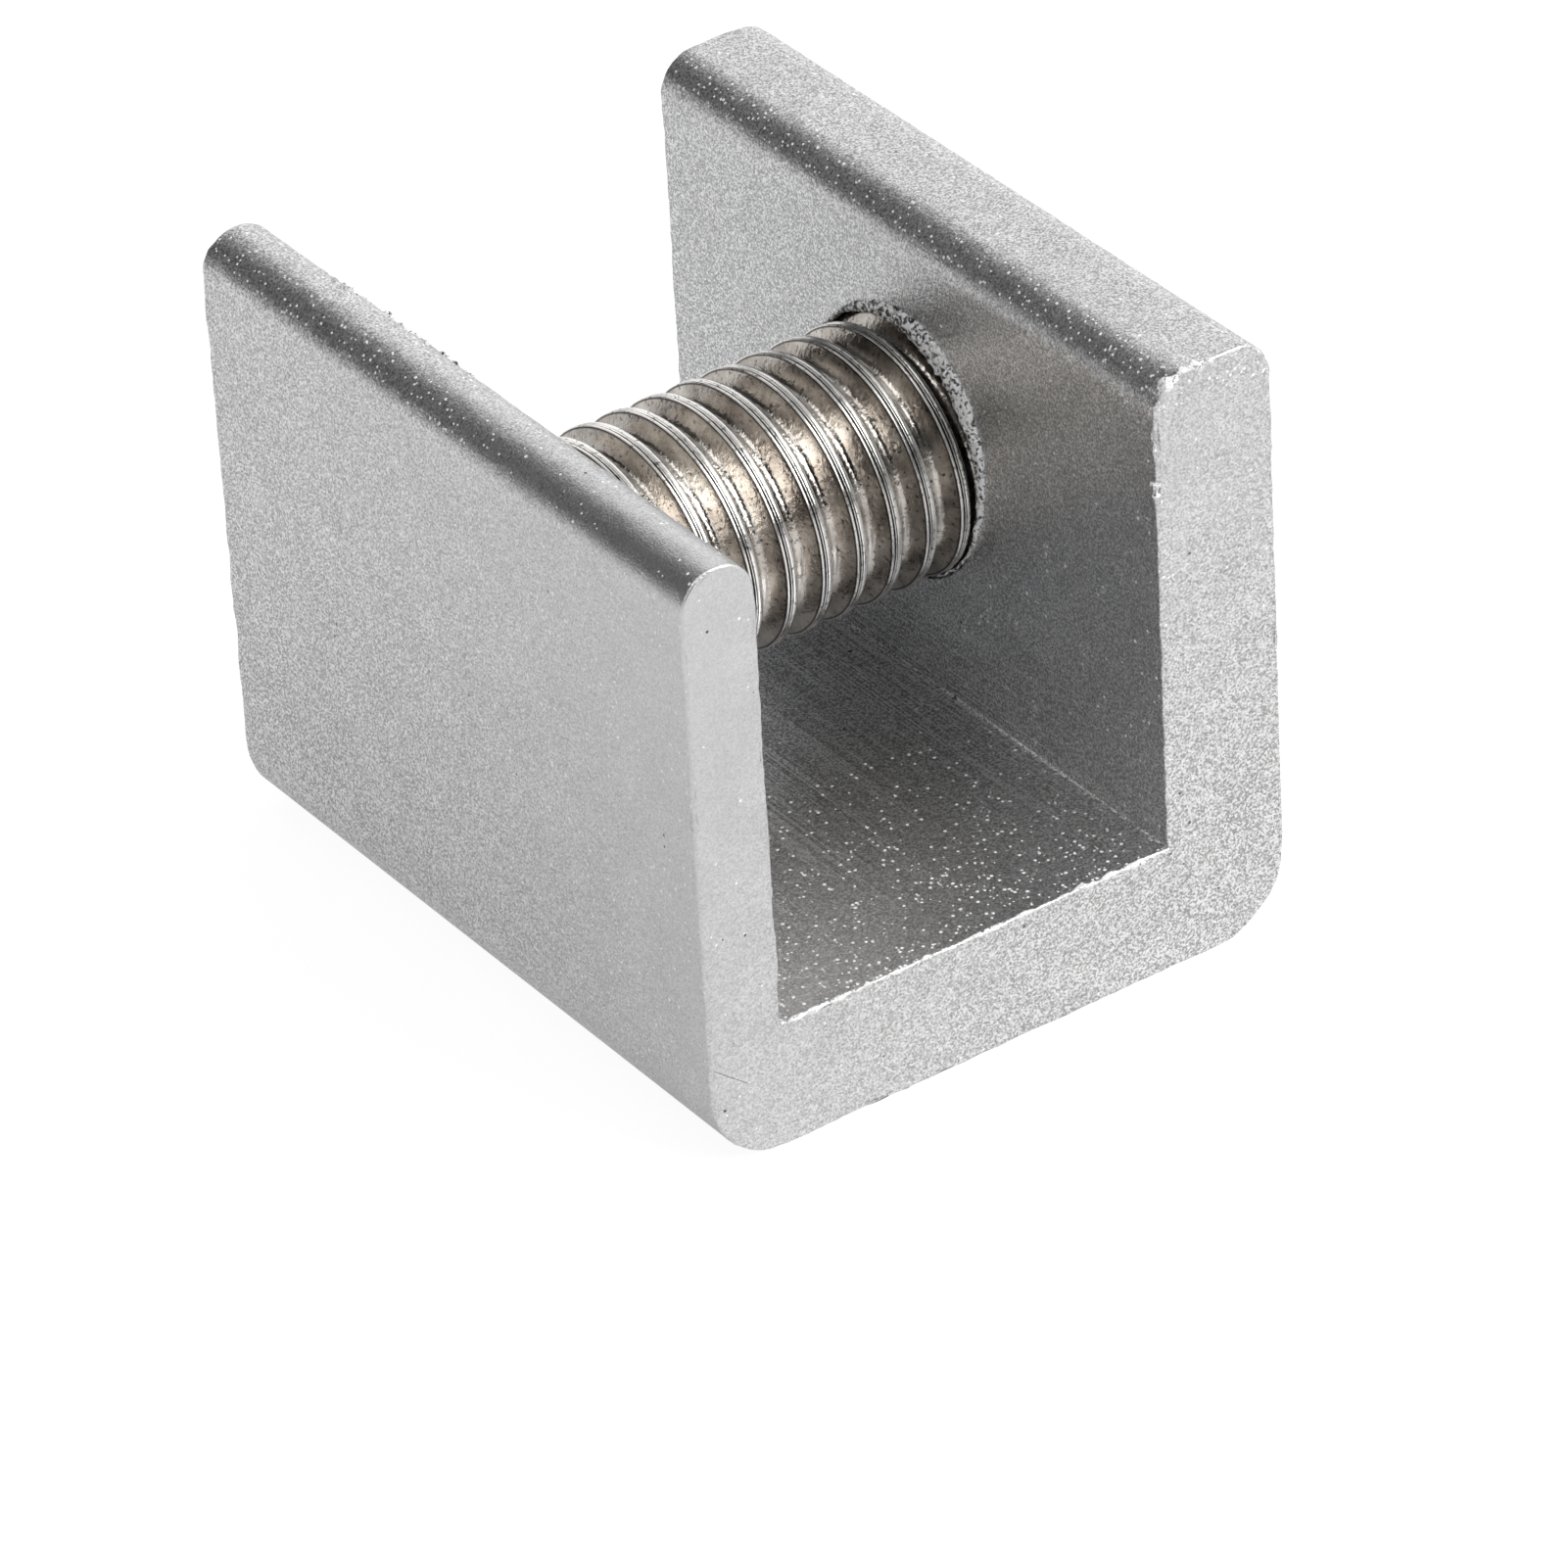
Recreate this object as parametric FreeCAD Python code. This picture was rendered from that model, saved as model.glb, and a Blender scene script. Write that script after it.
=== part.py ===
import FreeCAD, Part
import math
import os

# Sliding window lock: a short length of thick-walled aluminium channel that
# drops over the track of a sliding window, and a fully threaded grub screw
# that runs through its thick wall and clamps the track against the thin one.
#
# Frame: X runs across the channel (screw axis), Y along the channel,
# Z up from the underside.  All lengths are in millimetres.

Vec = FreeCAD.Vector

# channel, outside
CHANNEL_WIDTH = 24.6
CHANNEL_HEIGHT = 24.0
CHANNEL_LENGTH = 29.2

# channel, walls
THIN_WALL = 3.0          # the plain wall the screw presses towards
THICK_WALL = 5.0         # the wall that carries the screw
FLOOR = 5.0

# channel, edges that run along the extrusion
TOP_EDGE_RADIUS = 1.5    # makes the top of the thin wall a full half round
BOTTOM_EDGE_RADIUS = 3.0

# where the screw axis crosses the channel
SCREW_Y = 1.0
SCREW_Z = 14.2

# grub screw, M10 x 1.5, right hand
SCREW_DIAMETER = 9.75
TIP_GAP = 1.3            # between the tip and the thin wall, at rest
END_RECESS = 0.3         # between the socket end and the thick wall's outside
END_CHAMFER = 0.9
TIP_CUP_RADIUS = 2.9     # shallow cup in the tip
TIP_CUP_DEPTH = 0.6

# thread; the solid carries its profile as one groove per pitch
PITCH = 1.5
THREAD_DEPTH = 0.80
CREST_WIDTH = 0.46       # measured along the axis
ROOT_WIDTH = 0.28
FIRST_CREST = 1.04       # middle of the first crest, from the tip

# hexagon socket in the outer end
SOCKET_ACROSS_FLATS = 5.0
SOCKET_DEPTH = 5.5
SOCKET_LEAD_IN = 0.35
SOCKET_FLOOR_CONE = 1.2

# hole through the thick wall, chamfered at both faces
HOLE_CLEARANCE = 0.075   # round the screw's crests
HOLE_CHAMFER = 0.5

# the screw reaches from the tip gap to the recess: 20 mm
SCREW_TIP_X = -CHANNEL_WIDTH / 2.0 + THIN_WALL + TIP_GAP
SCREW_LENGTH = CHANNEL_WIDTH / 2.0 - END_RECESS - SCREW_TIP_X


def channel_section():
    """Closed outline of the U in the XZ plane, on the y = 0 plane."""
    half = CHANNEL_WIDTH / 2.0
    top = CHANNEL_HEIGHT
    r = TOP_EDGE_RADIUS
    rb = BOTTOM_EDGE_RADIUS
    d = math.sqrt(0.5)
    left_in = -half + THIN_WALL
    right_in = half - THICK_WALL

    def v(x, z):
        return Vec(x, 0.0, z)

    edges = []

    def line(a, b):
        edges.append(Part.LineSegment(a, b).toShape())

    def arc(a, mid, b):
        edges.append(Part.Arc(a, mid, b).toShape())

    # underside, left to right
    line(v(-half + rb, 0), v(half - rb, 0))
    arc(v(half - rb, 0), v(half - rb + rb * d, rb - rb * d), v(half, rb))
    # thick wall: outer face, top, inner face
    line(v(half, rb), v(half, top - r))
    arc(v(half, top - r), v(half - r + r * d, top - r + r * d), v(half - r, top))
    line(v(half - r, top), v(right_in + r, top))
    arc(v(right_in + r, top), v(right_in + r - r * d, top - r + r * d), v(right_in, top - r))
    line(v(right_in, top - r), v(right_in, FLOOR))
    # floor of the channel, sharp inside corners
    line(v(right_in, FLOOR), v(left_in, FLOOR))
    # thin wall: inner face, half round top, outer face
    line(v(left_in, FLOOR), v(left_in, top - r))
    arc(v(left_in, top - r), v(left_in - r, top), v(-half, top - r))
    line(v(-half, top - r), v(-half, rb))
    arc(v(-half, rb), v(-half + rb - rb * d, rb - rb * d), v(-half + rb, 0))
    return Part.Wire(edges)


def screw_hole():
    """Cutter for the hole through the thick wall, chamfered at both faces."""
    inner_x = CHANNEL_WIDTH / 2.0 - THICK_WALL
    outer_x = CHANNEL_WIDTH / 2.0
    r = SCREW_DIAMETER / 2.0 + HOLE_CLEARANCE
    c = HOLE_CHAMFER
    over = 1.0
    pts = [
        (inner_x - over, 0.0), (inner_x - over, r + c + over), (inner_x + c, r),
        (outer_x - c, r), (outer_x + over, r + c + over), (outer_x + over, 0.0),
    ]
    wire = Part.makePolygon([Vec(x, 0, z) for x, z in pts + pts[:1]])
    cutter = Part.Face(wire).revolve(Vec(0, 0, 0), Vec(1, 0, 0), 360)
    cutter.translate(Vec(0, SCREW_Y, SCREW_Z))
    return cutter


def build_channel_body():
    """Extruded channel with the screw hole through its thick wall."""
    body = Part.Face(channel_section()).extrude(Vec(0, CHANNEL_LENGTH, 0))
    body.translate(Vec(0, -CHANNEL_LENGTH / 2.0, 0))
    return body.cut(screw_hole())


def turned(points):
    """Solid of revolution about Z from (radius, height) corner points."""
    wire = Part.makePolygon([Vec(r, 0, z) for r, z in points + points[:1]])
    return Part.Face(wire).revolve(Vec(0, 0, 0), Vec(0, 0, 1), 360)


def screw_blank():
    """Turned blank along +Z: chamfered, cupped tip at z = 0, chamfered top."""
    r = SCREW_DIAMETER / 2.0
    c = END_CHAMFER
    length = SCREW_LENGTH
    return turned([(0.0, TIP_CUP_DEPTH), (TIP_CUP_RADIUS, 0.0), (r - c, 0.0), (r, c),
                   (r, length - c), (r - c, length), (0.0, length)])


def thread_grooves():
    """One V groove per pitch, wherever a groove's centre lies on the blank."""
    r = SCREW_DIAMETER / 2.0
    root_r = r - THREAD_DEPTH
    over = 0.2
    half_root = ROOT_WIDTH / 2.0
    half_top = (PITCH - CREST_WIDTH) / 2.0
    half_over = half_top + (half_top - half_root) * over / THREAD_DEPTH
    grooves = []
    z = (FIRST_CREST + 0.5 * PITCH) % PITCH
    while z < SCREW_LENGTH:
        grooves.append(turned([(root_r, z - half_root), (r + over, z - half_over),
                               (r + over, z + half_over), (root_r, z + half_root)]))
        z += PITCH
    return grooves


def hexagon_socket():
    """Cutter for the key socket, pointing down from the socket end."""
    across_corners_r = SOCKET_ACROSS_FLATS / math.sqrt(3.0)
    top = SCREW_LENGTH
    pts = []
    for i in range(6):
        a = math.radians(60 * i)
        pts.append(Vec(across_corners_r * math.cos(a), across_corners_r * math.sin(a),
                       top - SOCKET_DEPTH))
    prism = Part.Face(Part.makePolygon(pts + pts[:1])).extrude(Vec(0, 0, SOCKET_DEPTH + 1.0))
    flat_r = SOCKET_ACROSS_FLATS / 2.0
    drill = Part.makeCone(0.0, flat_r, SOCKET_FLOOR_CONE,
                          Vec(0, 0, top - SOCKET_DEPTH - SOCKET_FLOOR_CONE), Vec(0, 0, 1))
    lead = Part.makeCone(across_corners_r - 0.5, across_corners_r + SOCKET_LEAD_IN + 0.5,
                         SOCKET_LEAD_IN + 1.0,
                         Vec(0, 0, top - SOCKET_LEAD_IN - 0.5), Vec(0, 0, 1))
    return prism.fuse(drill).fuse(lead)


def build_clamp_screw():
    """Threaded grub screw lying along X, tip towards the thin wall."""
    screw = screw_blank().cut(thread_grooves()).cut(hexagon_socket())
    screw.rotate(Vec(0, 0, 0), Vec(0, 1, 0), 90)
    screw.translate(Vec(SCREW_TIP_X, SCREW_Y, SCREW_Z))
    return screw


def write(shape, node):
    """One closed solid per file."""
    solids = shape.Solids
    if len(solids) != 1:
        raise ValueError("%s has %d solids" % (node, len(solids)))
    solids[0].exportStep(os.path.join("parts", node + ".step"))


os.makedirs("parts", exist_ok=True)
write(build_channel_body(), "channel_body")
write(build_clamp_screw(), "clamp_screw")
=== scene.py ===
import math
import bmesh
import bpy
from mathutils import Matrix, Vector, noise


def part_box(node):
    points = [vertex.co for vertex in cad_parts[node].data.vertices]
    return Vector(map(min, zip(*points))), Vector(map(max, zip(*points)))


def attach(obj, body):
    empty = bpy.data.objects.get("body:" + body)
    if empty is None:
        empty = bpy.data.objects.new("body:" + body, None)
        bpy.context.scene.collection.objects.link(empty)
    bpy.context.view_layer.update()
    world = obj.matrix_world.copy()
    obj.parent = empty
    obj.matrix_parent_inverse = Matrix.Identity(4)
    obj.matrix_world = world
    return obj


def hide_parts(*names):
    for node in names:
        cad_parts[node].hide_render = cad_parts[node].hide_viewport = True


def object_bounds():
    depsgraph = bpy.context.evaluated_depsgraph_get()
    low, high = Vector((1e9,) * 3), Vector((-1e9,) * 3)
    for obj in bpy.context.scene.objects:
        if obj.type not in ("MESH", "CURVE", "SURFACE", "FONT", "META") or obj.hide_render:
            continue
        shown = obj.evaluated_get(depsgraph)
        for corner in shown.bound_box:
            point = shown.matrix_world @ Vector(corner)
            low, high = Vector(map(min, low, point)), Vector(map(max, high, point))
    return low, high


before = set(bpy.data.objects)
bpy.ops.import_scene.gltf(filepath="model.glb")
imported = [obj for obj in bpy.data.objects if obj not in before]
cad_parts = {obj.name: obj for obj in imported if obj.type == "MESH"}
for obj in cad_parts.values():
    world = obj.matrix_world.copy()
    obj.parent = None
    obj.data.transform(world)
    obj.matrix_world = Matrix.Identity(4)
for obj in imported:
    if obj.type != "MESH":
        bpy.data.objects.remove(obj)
cad_low, cad_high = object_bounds()


# Channel.  A short length of extruded aluminium with one thin and one thick wall, sawn off
# square at both ends.  The thick wall is drilled and tapped for the screw, and the whole
# piece is then bead blasted and clear anodised.

MM = 0.001
MERGE = 0.002 * MM               # points closer than this are one
THIN_WALL = 3.0 * MM
THICK_WALL = 5.0 * MM
FLOOR = 5.0 * MM
TOP_RADIUS = 1.495 * MM          # both top edges of the thin wall, which meet in a half round
BOTTOM_RADIUS = 3.0 * MM
FILLET_STEPS = 14
OUTLINE_STEP = 0.30 * MM         # spacing of points along the straight parts of the outline
LENGTH_STEP = 0.21 * MM          # spacing of the rings along the channel
END_RINGS = (0.17 * MM, 0.30 * MM)
BLASTED_EDGE = 0.10 * MM         # rounding of the sawn edges
EDGE_WANDER = 0.05 * MM          # how far the sawn edges leave a straight line
WANDER_REACH = 0.4 * MM          # how far in from the ends that shows
END_INSET = 0.05 * MM            # of the flat ends, which keeps their edges' shading apart
FILLET_PITTING = 0.018 * MM      # unevenness of the rounded top edges
KNOCK_DEPTH = 0.22 * MM          # of the chips in the edges
NOISE_SEED = 7                   # of all this unevenness, and of the burrs

body_low, body_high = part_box("channel_body")
screw_low, screw_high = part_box("clamp_screw")
HOLE_Y = (screw_low.y + screw_high.y) / 2
HOLE_Z = (screw_low.z + screw_high.z) / 2
THREAD_RADIUS = (screw_high.z - screw_low.z) / 2
INNER_LEFT = body_low.x + THIN_WALL
INNER_RIGHT = body_high.x - THICK_WALL
CHANNEL_FLOOR = body_low.z + FLOOR

PITCH = 1.5 * MM
TURN_STEPS = 120                 # points round one turn of a thread
BORE_RADIUS = THREAD_RADIUS + 0.075 * MM
TAP_DEPTH = 0.40 * MM            # the tapped grooves in the bore, seen once the screw is out
TAP_LEAD = 0.9 * MM              # over which the grooves fade out towards each face
CUTTER_REACH = 1.0 * MM          # how far the cutter of the bore stands out of the wall
RIM_WIDE_SIDE = math.radians(125)    # the side where drill and tap left the rim widest
RIM_WIDENING = 0.36 * MM         # of the bore's mouth, on that side
RIM_DEPTH = 1.5 * MM             # how deep the widening reaches
RIM_CHAMFER = 0.08 * MM
OUTER_CHAMFER = 0.50 * MM        # round the hole on the outer face
BURR_HEIGHT = 0.24 * MM          # of the lip of metal thrown up round the hole
BURR_THIN = 0.08 * MM            # its width on its narrow side
BURR_WIDE = 1.05 * MM            # and on its wide side
BURR_BITE = 0.04 * MM            # how far it hangs over the bore
EDGE_BURR = 0.070 * MM           # radius of the burr that the saw left along the floor
EDGE_BURR_STEPS = 300            # points along it
CORNER_BURR = 0.150 * MM         # at the thick wall's inner top corner
TOP_BURR = 0.100 * MM            # and along a part of the thin wall's inner top edge
TOP_BURR_START = 1.4 * MM        # where that part starts
TOP_BURR_STEPS = 95
TOP_BURR_STEP = 0.09 * MM        # between the points along it
TOP_BURR_ANGLE = math.radians(40)    # its place on the round of that edge
BURR_SINK = 0.02 * MM            # how deep the burrs sit in the metal
CORNER_SINK = 3 * BURR_SINK      # and the thicker one at the corner
BURR_INSET = 0.03 * MM           # how far behind the sawn face the front burrs run
BURR_JITTER = 0.065 * MM         # how far the burrs leave a smooth line
CHIPS = (                        # turned-up chips on the thick wall's inner edge: from, to, radius
    (21.25 * MM, 21.65 * MM, 0.070 * MM),
    (19.50 * MM, 20.00 * MM, 0.130 * MM),
)
EDGE_KNOCKS = (                  # middle and reach of the places where the edges are chipped
    ((INNER_LEFT, 9.0 * MM, body_high.z - 0.7 * MM), 2.6 * MM),
    ((INNER_LEFT, 4.5 * MM, body_high.z - 0.7 * MM), 1.5 * MM),
    ((INNER_RIGHT, body_low.y, 21.4 * MM), 0.9 * MM),
    ((INNER_RIGHT, body_low.y, 19.7 * MM), 0.6 * MM),
    ((INNER_RIGHT + 0.9 * MM, body_low.y, body_high.z - 0.4 * MM), 1.2 * MM),
    ((body_low.x, body_low.y, 14.4 * MM), 0.5 * MM),
)
PORES = (                        # open pores in the metal: place and radius
    ((6.21 * MM, 2.84 * MM, CHANNEL_FLOOR), 0.08 * MM),
    ((INNER_RIGHT - 0.03 * MM, -2.08 * MM, CHANNEL_FLOOR), 0.11 * MM),
    ((6.35 * MM, 1.30 * MM, CHANNEL_FLOOR), 0.05 * MM),
    ((INNER_RIGHT, -2.65 * MM, CHANNEL_FLOOR + 3.5 * MM), 0.06 * MM),
)
BRIGHT_SCRATCHES = (             # start, end and half width; painted white as glints
    ((-11.95 * MM, 8.20 * MM, 23.40 * MM), (-11.15 * MM, 8.45 * MM, 23.95 * MM), 0.045 * MM),
    ((-11.95 * MM, 2.10 * MM, 23.40 * MM), (-11.60 * MM, 1.90 * MM, 23.75 * MM), 0.035 * MM),
    ((7.55 * MM, -11.6 * MM, 23.30 * MM), (7.95 * MM, -11.4 * MM, 23.75 * MM), 0.035 * MM),
)
DARK_SCRATCHES = (
    ((-12.10 * MM, body_low.y, 4.26 * MM), (-10.80 * MM, body_low.y, 3.20 * MM), 0.016 * MM),
    ((-12.30 * MM, -14.2 * MM, 4.60 * MM), (-12.10 * MM, body_low.y, 4.26 * MM), 0.016 * MM),
    ((-5.80 * MM, body_low.y, 0.02 * MM), (-5.10 * MM, body_low.y, 0.06 * MM), 0.060 * MM),
    ((-3.10 * MM, body_low.y, 0.02 * MM), (-2.40 * MM, body_low.y, 0.05 * MM), 0.050 * MM),
)
GRAIN_SCALE = 12500.0            # of the blasted grain, in cells per metre
FACET_SCALE = 15500.0            # of its small bright and dark facets
CLOUD_SCALE = 420.0              # of the slow change in its tone
SPECK_SCALE = 5200.0             # of the bright specks, which are painted glints, and of the dark pits
TORN_SCALE = 6000.0              # of the torn metal's facets
GRAIN_DEPTH = 0.018 * MM         # of the grain's relief
TORN_DEPTH = 0.12 * MM           # and of the torn metal's


def make_object(name, bm, materials):
    """Turns a finished bmesh into an object at the origin."""
    mesh = bpy.data.meshes.new(name)
    bm.to_mesh(mesh)
    bm.free()
    for material in materials:
        mesh.materials.append(material)
    piece = bpy.data.objects.new(name, mesh)
    bpy.context.scene.collection.objects.link(piece)
    return piece


def new_ring(extruded):
    """The free edges of a strip that extrude_edge_only has just made."""
    made = {v for v in extruded["geom"] if isinstance(v, bmesh.types.BMVert)}
    return [e for e in extruded["geom"]
            if isinstance(e, bmesh.types.BMEdge) and made.issuperset(e.verts)], list(made)


def along_hole(bm):
    """Lays a shape made round the Z axis along the screw hole, Z pointing to +X."""
    turn = Matrix.Rotation(math.radians(90), 3, "Y")
    bmesh.ops.rotate(bm, cent=(0, 0, 0), matrix=turn, verts=bm.verts)
    bmesh.ops.translate(bm, vec=(0, HOLE_Y, HOLE_Z), verts=bm.verts)


def wind_thread(bm, profile, first_x, last_x):
    """Winds one pitch of thread profile, given as (along, radius), into a right-hand helix.

    The helix is made on the screw hole's axis and reaches past first_x and last_x."""
    path = [bm.verts.new((first_x - 2 * PITCH + along, 0, radius)) for along, radius in profile]
    edges = [bm.edges.new(pair) for pair in zip(path, path[1:])]
    bmesh.ops.spin(bm, geom=path + edges, cent=(0, 0, 0), axis=(1, 0, 0),
                   dvec=(PITCH / TURN_STEPS, 0, 0), angle=math.radians(360),
                   steps=TURN_STEPS, use_merge=False, use_duplicate=False)
    one_turn = bm.verts[:] + bm.edges[:] + bm.faces[:]
    turns = math.ceil((last_x - first_x) / PITCH) + 4
    for turn in range(1, turns):
        copy = bmesh.ops.duplicate(bm, geom=one_turn)["geom"]
        bmesh.ops.translate(bm, vec=(turn * PITCH, 0, 0),
                            verts=[v for v in copy if isinstance(v, bmesh.types.BMVert)])
    bmesh.ops.remove_doubles(bm, verts=bm.verts, dist=MERGE)
    bmesh.ops.translate(bm, vec=(0, HOLE_Y, HOLE_Z), verts=bm.verts)


def hole_radius(vert):
    return math.hypot(vert.co.y - HOLE_Y, vert.co.z - HOLE_Z)


def set_hole_radius(vert, radius):
    now = hole_radius(vert)
    vert.co.y = HOLE_Y + (vert.co.y - HOLE_Y) * radius / now
    vert.co.z = HOLE_Z + (vert.co.z - HOLE_Z) * radius / now


def channel_mesh():
    """The U, extruded along Y, its long edges rounded and its sawn edges blasted round."""
    bm = bmesh.new()
    corners = [(body_low.x, body_low.z), (body_high.x, body_low.z),
               (body_high.x, body_high.z), (INNER_RIGHT, body_high.z),
               (INNER_RIGHT, CHANNEL_FLOOR), (INNER_LEFT, CHANNEL_FLOOR),
               (INNER_LEFT, body_high.z), (body_low.x, body_high.z)]
    bm.faces.new([bm.verts.new((x, body_low.y, z)) for x, z in corners])
    for height, radius in ((body_high.z, TOP_RADIUS), (body_low.z, BOTTOM_RADIUS)):
        rounded = [v for v in bm.verts if abs(v.co.z - height) < 0.01 * MM]
        bmesh.ops.bevel(bm, geom=rounded, offset=radius, segments=FILLET_STEPS, profile=0.5,
                        affect="VERTICES", material=-1)
    bmesh.ops.delete(bm, geom=bm.faces[:], context="FACES_ONLY")
    bmesh.ops.remove_doubles(bm, verts=bm.verts, dist=0.02 * MM)
    for edge in bm.edges[:]:
        cuts = round(edge.calc_length() / OUTLINE_STEP) - 1
        if cuts > 0:
            bmesh.ops.subdivide_edges(bm, edges=[edge], cuts=cuts)

    length = body_high.y - body_low.y
    middle = length - 2 * END_RINGS[-1]
    count = round(middle / LENGTH_STEP)
    places = [0.0, *END_RINGS]
    places += [END_RINGS[-1] + middle * (i + 1) / count for i in range(count)]
    places += [length - ring for ring in reversed(END_RINGS[:-1])] + [length]
    ring = bm.edges[:]
    front = ring
    for here, there in zip(places, places[1:]):
        ring, verts = new_ring(bmesh.ops.extrude_edge_only(bm, edges=ring))
        bmesh.ops.translate(bm, vec=(0, there - here, 0), verts=verts)
    bmesh.ops.edgeloop_fill(bm, edges=front)
    bmesh.ops.edgeloop_fill(bm, edges=ring)
    bmesh.ops.recalc_face_normals(bm, faces=bm.faces)

    sawn = [e for e in bm.edges if len(e.link_faces) == 2
            and any(len(f.verts) > 4 for f in e.link_faces)]
    bmesh.ops.bevel(bm, geom=sawn, offset=BLASTED_EDGE, segments=3, profile=0.5,
                    affect="EDGES", material=-1)
    ends = [f for f in bm.faces if len(f.verts) > 8]
    bmesh.ops.inset_region(bm, faces=ends, thickness=END_INSET, depth=0, use_even_offset=True)
    return bm


def roughen_edges(bm):
    """Moves the points of the sawn and rounded edges, as saw, handling and blasting do."""
    for vert in bm.verts:
        from_end = min(vert.co.y - body_low.y, body_high.y - vert.co.y)
        wander = noise.noise_vector(vert.co * 900) + 0.8 * noise.noise_vector(vert.co * 2600)
        if from_end < WANDER_REACH:
            vert.co += wander * EDGE_WANDER * (1 - from_end / WANDER_REACH)
        elif vert.co.z > body_high.z - TOP_RADIUS:
            vert.co += noise.noise_vector(vert.co * 2500) * FILLET_PITTING
        knocks = sum(max(0, 1 - (vert.co - Vector(place)).length / size)
                     for place, size in EDGE_KNOCKS)
        if knocks:
            torn = 0.5 * wander + noise.noise_vector(vert.co * 4700)
            vert.co += torn * KNOCK_DEPTH * knocks


def hole_cutter():
    """The tapped bore through the thick wall, opening out a little at both faces."""
    bm = bmesh.new()
    root = BORE_RADIUS + TAP_DEPTH
    profile = [(0, BORE_RADIUS), (0.22 * MM, BORE_RADIUS), (0.62 * MM, root),
               (0.82 * MM, root), (1.22 * MM, BORE_RADIUS), (PITCH, BORE_RADIUS)]
    start, end = INNER_RIGHT - CUTTER_REACH, body_high.x + CUTTER_REACH
    wind_thread(bm, profile, start, end)
    for x, side in ((start, -1), (end, 1)):
        cut = bmesh.ops.bisect_plane(bm, geom=bm.verts[:] + bm.edges[:] + bm.faces[:],
                                     plane_co=(x, 0, 0), plane_no=(side, 0, 0),
                                     clear_outer=True)["geom_cut"]
        bmesh.ops.edgeloop_fill(bm, edges=[e for e in cut if isinstance(e, bmesh.types.BMEdge)])
    for vert in bm.verts:
        depth = min(vert.co.x - INNER_RIGHT, body_high.x - vert.co.x)
        groove = (hole_radius(vert) - BORE_RADIUS) * min(max(depth / TAP_LEAD - 0.2, 0), 1)
        sunk = vert.co.x - INNER_RIGHT
        rim = max(RIM_CHAMFER - sunk, OUTER_CHAMFER - (body_high.x - vert.co.x),
                  RIM_WIDENING * wide_side(vert) * min(1 - sunk / RIM_DEPTH, 1))
        set_hole_radius(vert, BORE_RADIUS + max(groove, rim))
    bmesh.ops.recalc_face_normals(bm, faces=bm.faces)
    return bm


def wide_side(vert):
    """1 on the side where the rim is widest, 0 opposite it."""
    angle = math.atan2(vert.co.z - HOLE_Z, vert.co.y - HOLE_Y)
    return (0.5 + 0.5 * math.cos(angle - RIM_WIDE_SIDE)) ** 5


def hole_burr():
    """The ragged lip of metal that drilling and tapping threw up on the inner face.

    It starts as a ring that reaches from 1.5 to 2.5 out, so each point's place across the
    lip runs from 0 to 1, and is then drawn in to its real size."""
    bm = bmesh.new()
    bmesh.ops.create_circle(bm, segments=18, radius=1.0)
    bmesh.ops.scale(bm, vec=(0.5, BURR_HEIGHT, 1), verts=bm.verts)
    bmesh.ops.rotate(bm, cent=(0, 0, 0), matrix=Matrix.Rotation(math.radians(90), 3, "X"),
                     verts=bm.verts)
    bmesh.ops.translate(bm, vec=(2.0, 0, 0), verts=bm.verts)
    bmesh.ops.spin(bm, geom=bm.verts[:] + bm.edges[:], cent=(0, 0, 0), axis=(0, 0, 1),
                   angle=math.radians(360), steps=300, use_merge=True)
    along_hole(bm)
    bmesh.ops.translate(bm, vec=(INNER_RIGHT, 0, 0), verts=bm.verts)
    for vert in bm.verts:
        across = hole_radius(vert) - 1.5
        side = wide_side(vert)
        inner = BORE_RADIUS + RIM_WIDENING * side - BURR_BITE
        set_hole_radius(vert, inner + across * (BURR_THIN + (BURR_WIDE - BURR_THIN) * side))
        vert.co.x = INNER_RIGHT + (vert.co.x - INNER_RIGHT) * (0.25 + 0.75 * side)
        ragged = noise.noise_vector(vert.co * 2400) + 0.8 * noise.noise_vector(vert.co * 6000)
        vert.co += ragged * (0.05 + 0.05 * side) * MM
    return bm


def edge_burr(path, radius):
    """A ragged thread of metal along an edge, thicker here and thinner there."""
    bm = bmesh.new()
    bmesh.ops.create_circle(bm, segments=10, radius=radius)
    way = (path[-1] - path[0]).to_track_quat("Z", "Y").to_matrix()
    bmesh.ops.rotate(bm, cent=(0, 0, 0), matrix=way, verts=bm.verts)
    bmesh.ops.translate(bm, vec=path[0], verts=bm.verts)
    first = ring = bm.edges[:]
    size = 1.0
    for here, there in zip(path, path[1:]):
        ring, verts = new_ring(bmesh.ops.extrude_edge_only(bm, edges=ring))
        wanted = min(max(0.75 + 2.4 * noise.noise(there * 2300), 0.15), 1.6)
        for vert in verts:
            vert.co = there + (vert.co - here) * wanted / size
        size = wanted
    bmesh.ops.edgeloop_fill(bm, edges=first)
    bmesh.ops.edgeloop_fill(bm, edges=ring)
    for vert in bm.verts:
        ragged = noise.noise_vector(vert.co * 3600) + noise.noise_vector(vert.co * 1300)
        vert.co += ragged * BURR_JITTER
    return bm


def weld_on(bm, burr, material_index):
    """Adds a burr to the channel's mesh, sunk a little into its surface."""
    for face in burr.faces:
        face.material_index = material_index
    bmesh.ops.recalc_face_normals(burr, faces=burr.faces)
    mesh = bpy.data.meshes.new("burr")
    burr.to_mesh(mesh)
    burr.free()
    bm.from_mesh(mesh)
    bpy.data.meshes.remove(mesh)


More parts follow.
